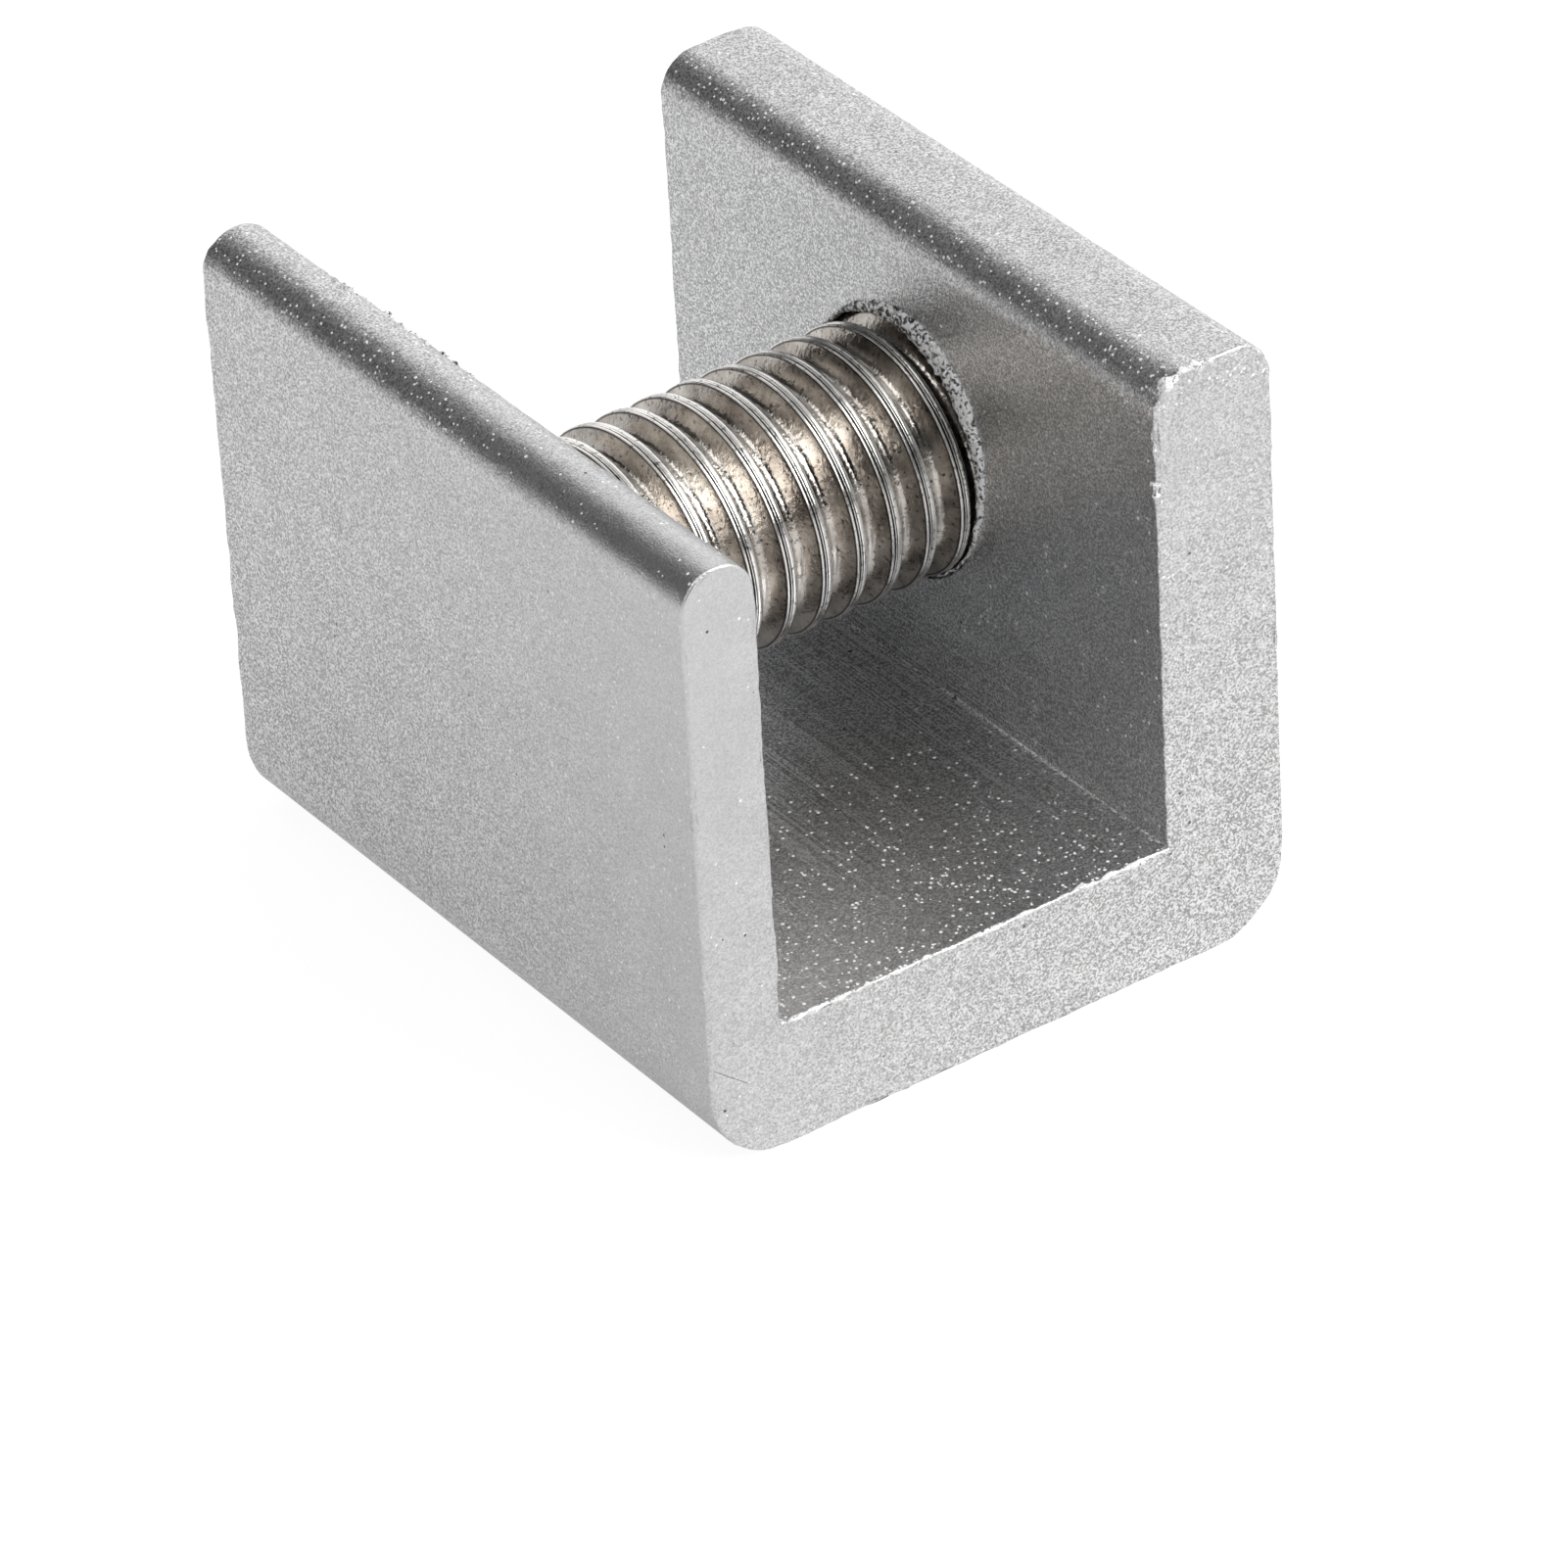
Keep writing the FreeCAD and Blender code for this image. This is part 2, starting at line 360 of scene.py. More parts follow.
def burr_paths():
    """Where the burrs run, each with its radius."""
    front = body_low.y + BURR_INSET
    floor_edge = [Vector((INNER_LEFT + (INNER_RIGHT - INNER_LEFT) * step / EDGE_BURR_STEPS,
                          front, CHANNEL_FLOOR - BURR_SINK))
                  for step in range(EDGE_BURR_STEPS + 1)]
    middle = Vector((INNER_RIGHT + TOP_RADIUS, front, body_high.z - TOP_RADIUS))
    corner = []
    for step in range(31):
        angle = math.radians(155 - 65 * step / 30)
        corner.append(middle + Vector((math.cos(angle), 0, math.sin(angle)))
                      * (TOP_RADIUS - CORNER_SINK))
    corner += [corner[-1] + Vector((step * 0.055 * MM, 0, 0)) for step in range(1, 19)]
    middle = Vector((INNER_LEFT - TOP_RADIUS, TOP_BURR_START, body_high.z - TOP_RADIUS))
    outward = Vector((math.cos(TOP_BURR_ANGLE), 0, math.sin(TOP_BURR_ANGLE)))
    top_edge = [middle + outward * (TOP_RADIUS - BURR_SINK)
                + Vector((0, step * TOP_BURR_STEP, 0)) for step in range(TOP_BURR_STEPS + 1)]
    chips = [([Vector((INNER_RIGHT, front, start + (end - start) * step / 6))
               for step in range(7)], radius) for start, end, radius in CHIPS]
    return [(floor_edge, EDGE_BURR), (corner, CORNER_BURR), (top_edge, TOP_BURR), *chips]


def add_node(tree, kind, inputs=None, **settings):
    """One shader node with its settings, values and incoming links."""
    node = tree.nodes.new(kind)
    for key, value in settings.items():
        setattr(node, key, value)
    for key, value in (inputs or {}).items():
        if isinstance(value, bpy.types.NodeSocket):
            tree.links.new(value, node.inputs[key])
        else:
            node.inputs[key].default_value = value
    return node


def colour_steps(tree, factor, *steps):
    """A colour ramp through (position, grey or colour) steps."""
    ramp = add_node(tree, "ShaderNodeValToRGB", {"Fac": factor})
    marks = ramp.color_ramp.elements
    while len(marks) < len(steps):
        marks.new(0.5)
    for mark, (place, shade) in zip(marks, steps):
        mark.position = place
        rgb = shade if isinstance(shade, tuple) else (shade, shade, shade)
        mark.color = (*rgb, 1)
    return ramp.outputs["Color"]


def sum_of(tree, operation, *values):
    """One arithmetic node."""
    return add_node(tree, "ShaderNodeMath", dict(enumerate(values)),
                    operation=operation).outputs["Value"]


def fade(tree, value, start, end, low=0.0, high=1.0):
    """Runs from low to high as the value goes from start to end, and stays there."""
    return add_node(tree, "ShaderNodeMapRange",
                    {"Value": value, "From Min": start, "From Max": end,
                     "To Min": low, "To Max": high}).outputs["Result"]


def mix(tree, factor, first, second, blend="MIX"):
    """One node that blends two colours."""
    return add_node(tree, "ShaderNodeMix", {"Factor": factor, "A": first, "B": second},
                    data_type="RGBA", blend_type=blend).outputs["Result"]


def distance(tree, here, there):
    """How far one place is from another."""
    return add_node(tree, "ShaderNodeVectorMath", {0: here, 1: there},
                    operation="DISTANCE").outputs["Value"]


def metal_material(name):
    """A new material, with its node tree, its shader and the place on the piece."""
    material = bpy.data.materials.new(name)
    material.use_nodes = True
    tree = material.node_tree
    place = add_node(tree, "ShaderNodeTexCoord").outputs["Object"]
    return material, tree, tree.nodes["Principled BSDF"], place


def scratch(tree, place, start, end, width):
    """1 within a width of the line from start to end, and 0 elsewhere."""
    start, way = Vector(start), Vector(end) - Vector(start)
    offset = add_node(tree, "ShaderNodeVectorMath", {0: place, 1: start},
                      operation="SUBTRACT").outputs["Vector"]
    share = add_node(tree, "ShaderNodeVectorMath", {0: offset, 1: way / way.length_squared},
                     operation="DOT_PRODUCT").outputs["Value"]
    foot = add_node(tree, "ShaderNodeVectorMath", {0: way, "Scale": fade(tree, share, 0.0, 1.0)},
                    operation="SCALE").outputs["Vector"]
    return sum_of(tree, "LESS_THAN", distance(tree, offset, foot), width)


def blasted_aluminium(name, inside):
    """Fine matt grain with bright and dark specks; the bright specks are glints painted into the
    colour as white, outside mostly on the rounded top edges.  Inside the channel the blasting is
    weaker and the grey a little darker, which is painted shade: the lines of the extrusion show,
    and the painted glints gather towards the open ends and along the floor's inner corners."""
    material, tree, shader, place = metal_material(name)
    along = add_node(tree, "ShaderNodeSeparateXYZ", {"Vector": place}).outputs
    grain = add_node(tree, "ShaderNodeTexNoise",
                     {"Vector": place, "Scale": GRAIN_SCALE, "Detail": 1.5, "Roughness": 0.6})
    mottle = add_node(tree, "ShaderNodeTexNoise",
                      {"Vector": place, "Scale": CLOUD_SCALE, "Detail": 4.0, "Roughness": 0.6})
    facets = add_node(tree, "ShaderNodeTexVoronoi", {"Vector": place, "Scale": FACET_SCALE})
    tilt = add_node(tree, "ShaderNodeSeparateColor", {"Color": facets.outputs["Color"]}).outputs
    relief = sum_of(tree, "MULTIPLY_ADD", tilt["Red"], 0.38,
                    sum_of(tree, "MULTIPLY", grain.outputs["Fac"], 0.62))
    level = add_node(tree, "ShaderNodeVectorMath", {0: place, 1: (1, 1, 0)},
                     operation="MULTIPLY").outputs["Vector"]
    handled = distance(tree, level, (body_low.x, body_low.y, 0))
    from_middle = sum_of(tree, "ABSOLUTE", along["Y"], 0.0)
    sawn = fade(tree, from_middle, body_high.y - 0.15 * MM, body_high.y - 0.05 * MM, 1.0,
                fade(tree, along["Z"], 4 * MM, 20 * MM, 1.2, 0.55))
    low = fade(tree, along["Z"], 2 * MM, 16 * MM, 1.35, 1.0)
    crisp = sum_of(tree, "MULTIPLY", fade(tree, handled, 0.0, 26 * MM, 0.30, 1.45),
                   sum_of(tree, "MULTIPLY", sawn, low))
    relief = sum_of(tree, "MULTIPLY_ADD", sum_of(tree, "SUBTRACT", relief, 0.5), crisp, 0.5)
    # Inside the channel the grey is a little darker and cooler: painted shade.
    middle = (0.642, 0.645, 0.662) if inside else 0.705
    grey = colour_steps(tree, relief, (0.28, 0.40), (0.50, middle), (0.72, 0.985))
    cloud = colour_steps(tree, mottle.outputs["Fac"], (0.3, 0.93), (0.7, 1.0))
    base = mix(tree, 1.0, grey, cloud, "MULTIPLY")

    cells = add_node(tree, "ShaderNodeTexVoronoi", {"Vector": place, "Scale": SPECK_SCALE})
    pick = add_node(tree, "ShaderNodeSeparateColor", {"Color": cells.outputs["Color"]}).outputs
    reach = sum_of(tree, "MULTIPLY_ADD", pick["Blue"], 0.15, 0.20)
    small = sum_of(tree, "LESS_THAN", cells.outputs["Distance"], reach)
    pit = sum_of(tree, "MULTIPLY", sum_of(tree, "LESS_THAN", pick["Green"], 0.0015), small)
    if inside:
        # Inside, the white specks are painted glints: a few everywhere, more on the floor towards
        # the open ends, and a speckled painted glint line along the floor's inner corners.
        on_floor = sum_of(tree, "LESS_THAN", along["Z"], CHANNEL_FLOOR + 0.06 * MM)
        gather = fade(tree, from_middle, 2.0 * MM, 14.6 * MM, 0.03, 0.48)
        share = sum_of(tree, "MULTIPLY_ADD", gather, on_floor, 0.03)
        half = (INNER_RIGHT - INNER_LEFT) / 2
        across = sum_of(tree, "ABSOLUTE", sum_of(tree, "ADD", along["X"], -INNER_LEFT - half), 0)
        sideways = sum_of(tree, "SUBTRACT", across, half)
        upward = sum_of(tree, "SUBTRACT", along["Z"], CHANNEL_FLOOR)
        corner = sum_of(tree, "SQRT", sum_of(tree, "MULTIPLY_ADD", sideways, sideways,
                                             sum_of(tree, "MULTIPLY", upward, upward)), 0)
        lines = add_node(tree, "ShaderNodeMapping",
                         {"Vector": place, "Scale": (10500, 80, 10500)}).outputs["Vector"]
        drawn = add_node(tree, "ShaderNodeTexNoise",
                         {"Vector": lines, "Scale": 1.0, "Detail": 1.0, "Roughness": 0.6})
        spread = add_node(tree, "ShaderNodeMapping",
                          {"Vector": place, "Scale": (700, 30, 700)}).outputs["Vector"]
        bands = add_node(tree, "ShaderNodeTexNoise", {"Vector": spread, "Scale": 1.0})
        low_down = fade(tree, along["Z"], CHANNEL_FLOOR, CHANNEL_FLOOR + 4 * MM, 1.0, 0.0)
        strength = sum_of(tree, "MULTIPLY", low_down,
                          fade(tree, from_middle, 2.0 * MM, 12.0 * MM, 1.0, 0.10))
        strength = sum_of(tree, "MULTIPLY", strength,
                          fade(tree, bands.outputs["Fac"], 0.40, 0.62, 0.15, 1.0))
        streak = colour_steps(tree, drawn.outputs["Fac"], (0.34, 0.70), (0.5, 1.0), (0.66, 1.75))
        base = mix(tree, strength, base, streak, "MULTIPLY")
        for spot, size in PORES:
            near = sum_of(tree, "LESS_THAN", distance(tree, place, spot), size)
            pit = sum_of(tree, "MAXIMUM", pit, near)
        lit = sum_of(tree, "LESS_THAN", pick["Red"], share)
        # A speckled line of painted glints along the floor's inner corners.
        corner_glint_line = sum_of(tree, "MULTIPLY", sum_of(tree, "LESS_THAN", corner, 0.090 * MM),
                      sum_of(tree, "GREATER_THAN", grain.outputs["Fac"], 0.56))
        painted_glints = sum_of(tree, "MAXIMUM", sum_of(tree, "MULTIPLY", lit, small), corner_glint_line)
    else:
        # Outside, the white specks are painted glints: a few everywhere, and many on the rounded
        # top edges away from the front left corner; the bright scratches are painted white as
        # glints too.
        on_fillet = sum_of(tree, "MULTIPLY",
                           sum_of(tree, "GREATER_THAN", along["Z"], body_high.z - TOP_RADIUS),
                           sum_of(tree, "LESS_THAN", along["Z"], body_high.z - 0.05 * MM))
        share = sum_of(tree, "MULTIPLY_ADD", on_fillet,
                       fade(tree, handled, 5 * MM, 18 * MM, 0.05, 0.42), 0.03)
        lit = sum_of(tree, "LESS_THAN", pick["Red"], share)
        painted_glints = sum_of(tree, "MULTIPLY", lit, small)
        for start, end, width in BRIGHT_SCRATCHES:
            painted_glints = sum_of(tree, "MAXIMUM", painted_glints, scratch(tree, place, start, end, width))
        for start, end, width in DARK_SCRATCHES:
            pit = sum_of(tree, "MAXIMUM", pit, scratch(tree, place, start, end, width))
    # Pits are dark; the painted glints are white and almost unmetallic.
    base = mix(tree, pit, base, (0.12, 0.12, 0.12, 1))
    base = mix(tree, painted_glints, base, (1, 1, 1, 1))
    metal = sum_of(tree, "MULTIPLY_ADD", painted_glints, -0.9, 1.0)
    bump = add_node(tree, "ShaderNodeBump",
                    {"Height": grain.outputs["Fac"], "Strength": 1.0, "Distance": GRAIN_DEPTH})
    tree.links.new(base, shader.inputs["Base Color"])
    tree.links.new(metal, shader.inputs["Metallic"])
    tree.links.new(bump.outputs["Normal"], shader.inputs["Normal"])
    shader.inputs["Roughness"].default_value = 0.34 if inside else 0.38
    return material


def torn_aluminium():
    """Bare, torn metal of the burrs and the tapped bore: coarse facets, some painted white as
    glints, more of them on the front of the hole's lip and along the front and left burrs, and
    painted shade that darkens the bore from just inside its mouth.
    """
    material, tree, shader, place = metal_material("torn_aluminium")
    chips = add_node(tree, "ShaderNodeTexNoise",
                     {"Vector": place, "Scale": TORN_SCALE, "Detail": 2.0, "Roughness": 0.65})
    along = add_node(tree, "ShaderNodeSeparateXYZ", {"Vector": place}).outputs
    # Painted highlight: the torn metal is pushed towards its white flecks on the front side of the
    # hole, and more along the front and left burrs.
    painted_front_highlight = fade(tree, along["Y"], HOLE_Y - 0.6 * MM, HOLE_Y - 3.0 * MM, 0.0, 0.065)
    front = sum_of(tree, "LESS_THAN", along["Y"], body_low.y + 1.0 * MM)
    edges = sum_of(tree, "MAXIMUM", front,
                   sum_of(tree, "LESS_THAN", along["X"], INNER_LEFT + 1.0 * MM))
    torn = sum_of(tree, "ADD", sum_of(tree, "MULTIPLY_ADD", edges, 0.09, painted_front_highlight),
                  chips.outputs["Fac"])
    # Its highest values are painted white, with the metal turned almost to white diffuse, as
    # glints.
    chipped = colour_steps(tree, torn, (0.44, 0.10), (0.51, 0.55), (0.57, 1.0))
    metal = colour_steps(tree, torn, (0.52, 1.0), (0.58, 0.10))
    # Painted shade: the bore darkens to a quarter with depth from just inside its mouth, but not
    # at the front burrs.
    deep = fade(tree, along["X"], INNER_RIGHT + 0.02 * MM, INNER_RIGHT + 0.25 * MM, 1.0, 0.25)
    painted_bore_shade = sum_of(tree, "MAXIMUM", deep, front)
    grey = mix(tree, 1.0, chipped, painted_bore_shade, "MULTIPLY")
    bump = add_node(tree, "ShaderNodeBump",
                    {"Height": chips.outputs["Fac"], "Strength": 1.0, "Distance": TORN_DEPTH})
    tree.links.new(grey, shader.inputs["Base Color"])
    tree.links.new(metal, shader.inputs["Metallic"])
    tree.links.new(bump.outputs["Normal"], shader.inputs["Normal"])
    shader.inputs["Roughness"].default_value = 0.3
    return material


def shade_smooth(bm, angle):
    """Smooth shading, with a sharp line at every edge that turns by more than the angle."""
    for edge in bm.edges:
        edge.smooth = edge.calc_face_angle(0) < angle
    for face in bm.faces:
        face.smooth = True


def mark_inside(bm):
    """Gives the floor and the inner faces of both walls the second material."""
    for face in bm.faces:
        middle = face.calc_center_median()
        if abs(face.normal.y) < 0.5:
            within = INNER_LEFT - 0.01 * MM < middle.x < INNER_RIGHT + 0.01 * MM
            face.material_index = int(within and middle.z < body_high.z - TOP_RADIUS)


noise.seed_set(NOISE_SEED)
bm = channel_mesh()
mark_inside(bm)
channel = make_object("lock_channel", bm, [blasted_aluminium("blasted_aluminium", False),
                                           blasted_aluminium("drawn_aluminium", True)])
torn = torn_aluminium()
cutter = make_object("hole_cutter", hole_cutter(), [torn])
bore = channel.modifiers.new("bore", "BOOLEAN")
bore.object = cutter
bore.operation = "DIFFERENCE"
bore.solver = "EXACT"
bore.material_mode = "TRANSFER"
graph = bpy.context.evaluated_depsgraph_get()
finished = bpy.data.meshes.new_from_object(channel.evaluated_get(graph))
channel.modifiers.clear()
channel.data = finished
bpy.data.objects.remove(cutter)
bm = bmesh.new()
bm.from_mesh(channel.data)
roughen_edges(bm)
torn_index = channel.data.materials.find("torn_aluminium")
weld_on(bm, hole_burr(), torn_index)
for path, radius in burr_paths():
    weld_on(bm, edge_burr(path, radius), torn_index)
shade_smooth(bm, math.radians(34))
bm.to_mesh(channel.data)
bm.free()
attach(channel, "channel")
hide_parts("channel_body")


# Clamp screw.  An M10 grub screw, its thread rolled so that each crest keeps a crease
# between two lips, with a cupped tip and a 5 mm hexagon socket.  Steel, nickel plated.

END_CHAMFER = 0.9 * MM
CUP_RADIUS = 2.9 * MM
CUP_DEPTH = 0.6 * MM
HEX_FLATS = 5.0 * MM
HEX_DEPTH = 5.5 * MM
HEX_LEAD_IN = 0.35 * MM
FIRST_CREST_X = screw_low.x + 1.04 * MM
CREST_AT_TOP = FIRST_CREST_X + PITCH
PIT_SCALE = 5200.0               # of the plating's pits, in cells per metre
HAZE_SCALE = 650.0               # of its dirt
PIT_DEPTH = 0.030 * MM           # of the relief
# The crest lips' near white is partly polish and partly a painted highlight.
CREST_POLISH_AND_HIGHLIGHT = (1.0, 0.98, 0.955, 1)
# The creases are painted almost black, as shade.
CREASE_PAINTED_SHADE = (0.10, 0.09, 0.085, 1)


def rolled_profile():
    """One pitch of the thread from root to root, as (along, radius).  Rolling leaves each crest
    with a sharp lip, a narrow ridge and a broad lip, and a crease between each two."""
    flank = [(0.75, -0.80), (0.66, -0.795), (0.58, -0.765), (0.50, -0.70), (0.43, -0.60),
             (0.37, -0.47), (0.31, -0.31), (0.268, -0.17)]
    crest = [(-0.240, -0.080), (-0.222, -0.025), (-0.205, -0.004), (-0.175, 0.0),
             (-0.145, -0.006), (-0.130, -0.055), (-0.115, -0.075), (-0.090, -0.075),
             (-0.075, -0.050), (-0.062, -0.004), (-0.045, 0.0), (-0.028, -0.006),
             (-0.015, -0.055), (0.0, -0.070), (0.018, -0.055), (0.032, -0.006),
             (0.060, 0.0), (0.110, -0.004), (0.160, -0.014), (0.205, -0.034),
             (0.240, -0.080)]
    points = [(-along, drop) for along, drop in flank] + crest + flank[::-1]
    return [(PITCH / 2 + along * MM, THREAD_RADIUS + drop * MM) for along, drop in points]


def clamp_screw_mesh():
    """The threaded length, cut off at both ends, with its tip and its socket."""
    bm = bmesh.new()
    wind_thread(bm, rolled_profile(), CREST_AT_TOP - 10 * PITCH - PITCH / 2, screw_high.x)
    for vert in bm.verts:
        to_end = min(vert.co.x - screw_low.x, screw_high.x - vert.co.x)
        limit = THREAD_RADIUS - END_CHAMFER + max(to_end, 0)
        if hole_radius(vert) > limit:
            set_hole_radius(vert, limit)
    rims = []
    for x, side in ((screw_low.x, -1), (screw_high.x, 1)):
        cut = bmesh.ops.bisect_plane(bm, geom=bm.verts[:] + bm.edges[:] + bm.faces[:],
                                     plane_co=(x, 0, 0), plane_no=(side, 0, 0),
                                     clear_outer=True)["geom_cut"]
        rims.append([e for e in cut if isinstance(e, bmesh.types.BMEdge)])
    close_tip(bm, rims[0])
    close_socket(bm, rims[1])
    bmesh.ops.remove_doubles(bm, verts=bm.verts, dist=MERGE)
    bmesh.ops.recalc_face_normals(bm, faces=bm.faces)
    return bm


def step_ring(bm, ring, dx, radius_of):
    """Extrudes a ring along X and gives it a new radius at each angle."""
    ring, verts = new_ring(bmesh.ops.extrude_edge_only(bm, edges=ring))
    for vert in verts:
        vert.co.x += dx
        angle = math.atan2(vert.co.z - HOLE_Z, vert.co.y - HOLE_Y)
        set_hole_radius(vert, radius_of(angle))
    return ring


def close_tip(bm, rim):
    """The flat rim of the tip and its shallow cup."""
    ring = step_ring(bm, rim, 0.0, lambda a: CUP_RADIUS + 0.25 * MM)
    ring = step_ring(bm, ring, 0.0, lambda a: CUP_RADIUS + 0.04 * MM)
    ring = step_ring(bm, ring, 0.03 * MM, lambda a: CUP_RADIUS - 0.04 * MM)
    ring = step_ring(bm, ring, CUP_DEPTH - 0.1 * MM, lambda a: 0.4 * MM)
    ring = step_ring(bm, ring, 0.07 * MM, lambda a: 0.1 * MM)
    bmesh.ops.edgeloop_fill(bm, edges=ring)


def hexagon(angle, flats):
    """Radius of a hexagon with the given distance across its flats, corners up and down."""
    sixth = math.radians(60)
    return flats / 2 / math.cos(((angle + sixth / 2) % sixth) - sixth / 2)


def close_socket(bm, rim):
    """The outer end: a flat rim, a lead-in cone, the hexagon and its drilled bottom."""
    lead = HEX_FLATS / math.sqrt(3) + HEX_LEAD_IN
    ring = step_ring(bm, rim, 0.0, lambda a: lead + 0.25 * MM)
    ring = step_ring(bm, ring, 0.0, lambda a: lead)
    ring = step_ring(bm, ring, -0.02 * MM, lambda a: lead - 0.03 * MM)
    ring = step_ring(bm, ring, -HEX_LEAD_IN, lambda a: hexagon(a, HEX_FLATS))
    ring = step_ring(bm, ring, -HEX_DEPTH + HEX_LEAD_IN, lambda a: hexagon(a, HEX_FLATS))
    ring = step_ring(bm, ring, 0.0, lambda a: HEX_FLATS / 2 * 0.99)
    ring = step_ring(bm, ring, -1.1 * MM, lambda a: 0.2 * MM)
    bmesh.ops.edgeloop_fill(bm, edges=ring)


def nickel_plate():
    """Bright, slightly warm plating, with fine dirt and pits from the rolling.  The crest lips are
    near white, partly polish and partly a painted highlight; the creases between them and a thin
    band under the crest tops are painted almost black as shade.
    """
    material, tree, shader, place = metal_material("nickel_plated_steel")
    along = add_node(tree, "ShaderNodeSeparateXYZ", {"Vector": place}).outputs
    out_y = sum_of(tree, "SUBTRACT", along["Y"], HOLE_Y)
    out_z = sum_of(tree, "SUBTRACT", along["Z"], HOLE_Z)
    squared = sum_of(tree, "MULTIPLY_ADD", out_y, out_y, sum_of(tree, "MULTIPLY", out_z, out_z))
    radius = sum_of(tree, "SQRT", squared)
    # Painted shade: almost black in the creases between the lips and in a thin band under the
    # crest tops.
    crease = fade(tree, radius, THREAD_RADIUS - 0.13 * MM, THREAD_RADIUS - 0.08 * MM)
    # The lips are painted near white: partly polish, partly painted highlight, broken by the pits.
    crest = fade(tree, radius, THREAD_RADIUS - 0.050 * MM, THREAD_RADIUS - 0.030 * MM)
    pits = add_node(tree, "ShaderNodeTexNoise",
                    {"Vector": place, "Scale": PIT_SCALE, "Detail": 2.5, "Roughness": 0.6})
    haze = add_node(tree, "ShaderNodeTexNoise",
                    {"Vector": place, "Scale": HAZE_SCALE, "Detail": 4.0, "Roughness": 0.62})
    valley = colour_steps(tree, haze.outputs["Fac"], (0.34, (0.36, 0.33, 0.305)),
                          (0.48, (0.54, 0.50, 0.455)), (0.62, (0.72, 0.68, 0.63)))
    spots = colour_steps(tree, pits.outputs["Fac"], (0.30, 0.20), (0.40, 1.0))
    worn = colour_steps(tree, pits.outputs["Fac"], (0.33, 0.35), (0.42, 1.0))
    dull = mix(tree, 1.0, valley, spots, "MULTIPLY")
    bright = mix(tree, 1.0, CREST_POLISH_AND_HIGHLIGHT, worn, "MULTIPLY")
    tint = mix(tree, crest, mix(tree, crease, dull, CREASE_PAINTED_SHADE), bright)
    rough = colour_steps(tree, haze.outputs["Fac"], (0.35, 0.10), (0.65, 0.24))
    bump = add_node(tree, "ShaderNodeBump",
                    {"Height": pits.outputs["Fac"], "Strength": fade(tree, crest, 0, 1, 1.0, 0.25),
                     "Distance": PIT_DEPTH})
    tree.links.new(tint, shader.inputs["Base Color"])
    tree.links.new(rough, shader.inputs["Roughness"])
    tree.links.new(bump.outputs["Normal"], shader.inputs["Normal"])
    shader.inputs["Metallic"].default_value = 1.0
    return material


bm = clamp_screw_mesh()
shade_smooth(bm, math.radians(40))
screw = make_object("grub_screw", bm, [nickel_plate()])
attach(screw, "screw")
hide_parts("clamp_screw")


# Studio.  A wide pale floor under a bright surround.  Darker parts of the surround, up behind
# the lock's left and in front of it, give the rounded edges and the screw's crests their dark
# lines, and a small bright part overhead gives the screw its highlight.

FLOOR_REACH = 3.0                # from the middle to each side
PATCHES = (                      # direction, cosines of its soft edge, level
    (Vector((-0.58, 0.70, 0.42)).normalized(), (0.60, 0.86), 0.06),
    (Vector((-0.50, -0.68, 0.54)).normalized(), (0.82, 0.90), 0.06),
    (Vector((0.00, -0.86, 0.50)).normalized(), (0.86, 0.93), 0.10),
    (Vector((0.50, -0.74, 0.44)).normalized(), (0.86, 0.93), 0.10),
    (Vector((-0.47, -0.10, 0.88)).normalized(), (0.90, 0.93), 4.8),
)

bm = bmesh.new()
bmesh.ops.create_grid(bm, x_segments=1, y_segments=1, size=FLOOR_REACH)
bmesh.ops.translate(bm, vec=(0, 0, cad_low.z), verts=bm.verts)
paper = bpy.data.materials.new("floor_paper")
paper.use_nodes = True
tree = paper.node_tree
tree.nodes.remove(tree.nodes["Principled BSDF"])
plain = add_node(tree, "ShaderNodeBsdfDiffuse", {"Color": (0.80, 0.80, 0.80, 1)})
rays = add_node(tree, "ShaderNodeLightPath")
white = fade(tree, rays.outputs["Is Camera Ray"], 0.0, 1.0, 0.90, 1.2)
lit = add_node(tree, "ShaderNodeEmission", {"Color": (1, 1, 1, 1), "Strength": white})
shown = sum_of(tree, "MULTIPLY_ADD", rays.outputs["Is Camera Ray"], 0.75,
               sum_of(tree, "MULTIPLY", rays.outputs["Is Glossy Ray"], 0.43))
mixed = add_node(tree, "ShaderNodeMixShader",
                 {"Fac": shown, 1: plain.outputs["BSDF"], 2: lit.outputs["Emission"]})
tree.links.new(mixed.outputs["Shader"], tree.nodes["Material Output"].inputs["Surface"])
floor = make_object("studio_floor", bm, [paper])

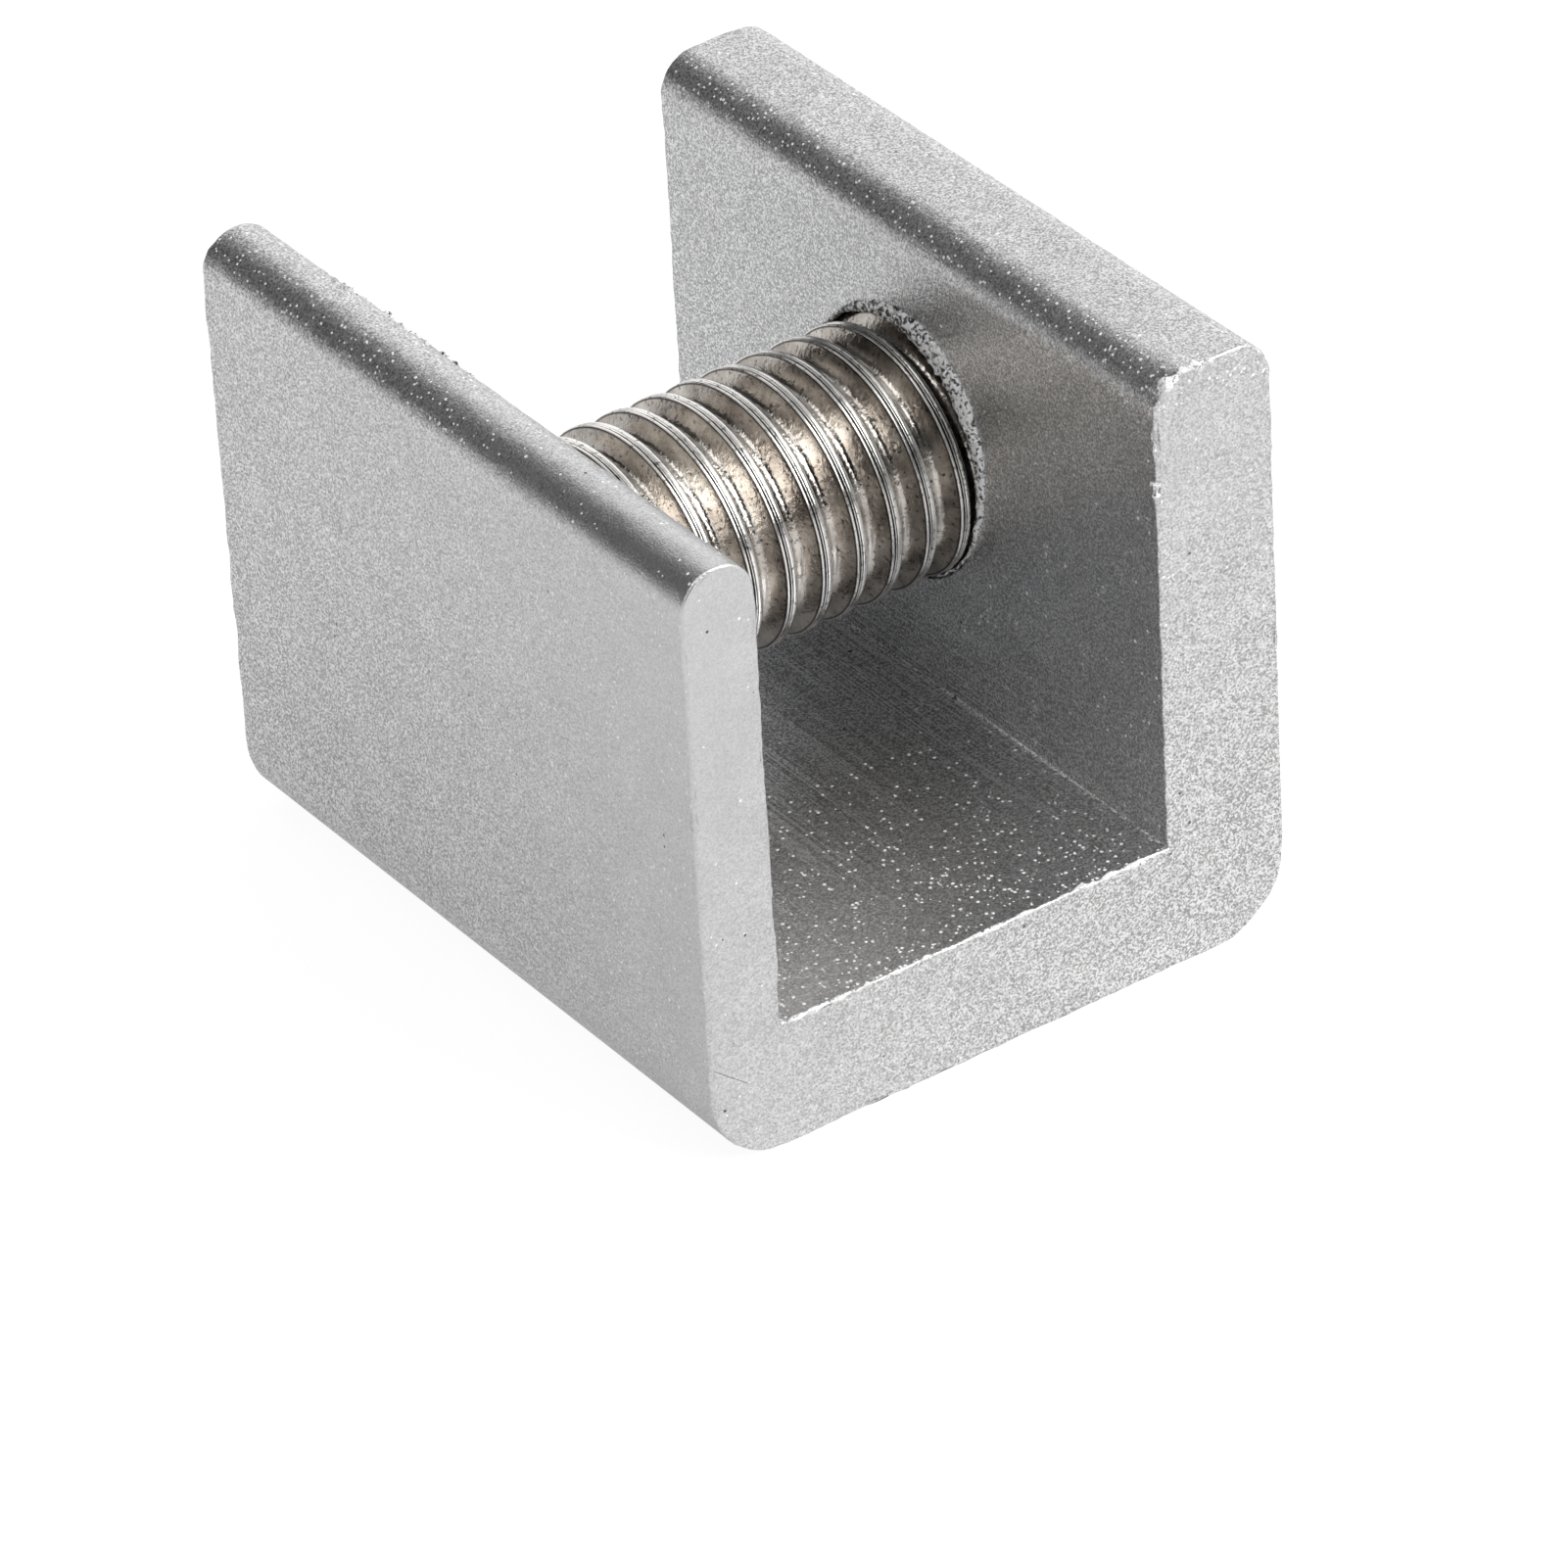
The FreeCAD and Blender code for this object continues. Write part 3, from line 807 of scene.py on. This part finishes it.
world = bpy.data.worlds.new("studio")
bpy.context.scene.world = world
world.use_nodes = True
tree = world.node_tree
around = add_node(tree, "ShaderNodeTexCoord").outputs["Generated"]
height = add_node(tree, "ShaderNodeSeparateXYZ", {"Vector": around}).outputs["Z"]
level = colour_steps(tree, height, (0.60, 1.03), (0.85, 0.40))
for way, (edge, full), shade in PATCHES:
    toward = add_node(tree, "ShaderNodeVectorMath", {0: around, 1: way},
                      operation="DOT_PRODUCT").outputs["Value"]
    patch = colour_steps(tree, toward, (edge, 1.0), (full, shade))
    level = mix(tree, 1.0, level, patch, "MULTIPLY")
rays = add_node(tree, "ShaderNodeLightPath")
light = mix(tree, rays.outputs["Is Camera Ray"], level, (1, 1, 1, 1))
tree.links.new(light, tree.nodes["Background"].inputs["Color"])


def soft_lamp(name, place, aim, size, power):
    """A square lamp at a place, turned towards its aim."""
    lamp = bpy.data.lights.new(name, "AREA")
    lamp.shape = "SQUARE"
    lamp.size = size
    lamp.energy = power
    holder = bpy.data.objects.new(name, lamp)
    holder.location = place
    holder.rotation_euler = (Vector(aim) - Vector(place)).to_track_quat("-Z", "Y").to_euler()
    bpy.context.scene.collection.objects.link(holder)


soft_lamp("key_light", (0.26, -0.32, 0.38), (0, 0, 0.01), 0.5, 3.2)


# Camera, at the height and angle the lock was photographed from.

CAMERA_PLACE = (-0.16304, -0.24627, 0.19908)
CAMERA_AZIMUTH = -34.3296
CAMERA_TILT = 90 - 32.6375
CAMERA_ROLL = -3.0537
CAMERA_LENS = 228.65
CAMERA_SHIFT = (-0.0539, -0.1032)

camera = bpy.data.cameras.new("camera")
camera.sensor_width = 36.0
camera.lens = CAMERA_LENS
camera.shift_x, camera.shift_y = CAMERA_SHIFT
camera.clip_start = 0.01
viewer = bpy.data.objects.new("camera", camera)
viewer.matrix_world = (Matrix.Translation(CAMERA_PLACE)
                       @ Matrix.Rotation(math.radians(CAMERA_AZIMUTH), 4, "Z")
                       @ Matrix.Rotation(math.radians(CAMERA_TILT), 4, "X")
                       @ Matrix.Rotation(math.radians(CAMERA_ROLL), 4, "Z"))
bpy.context.scene.collection.objects.link(viewer)
bpy.context.scene.camera = viewer
bpy.context.scene.view_settings.view_transform = "Standard"
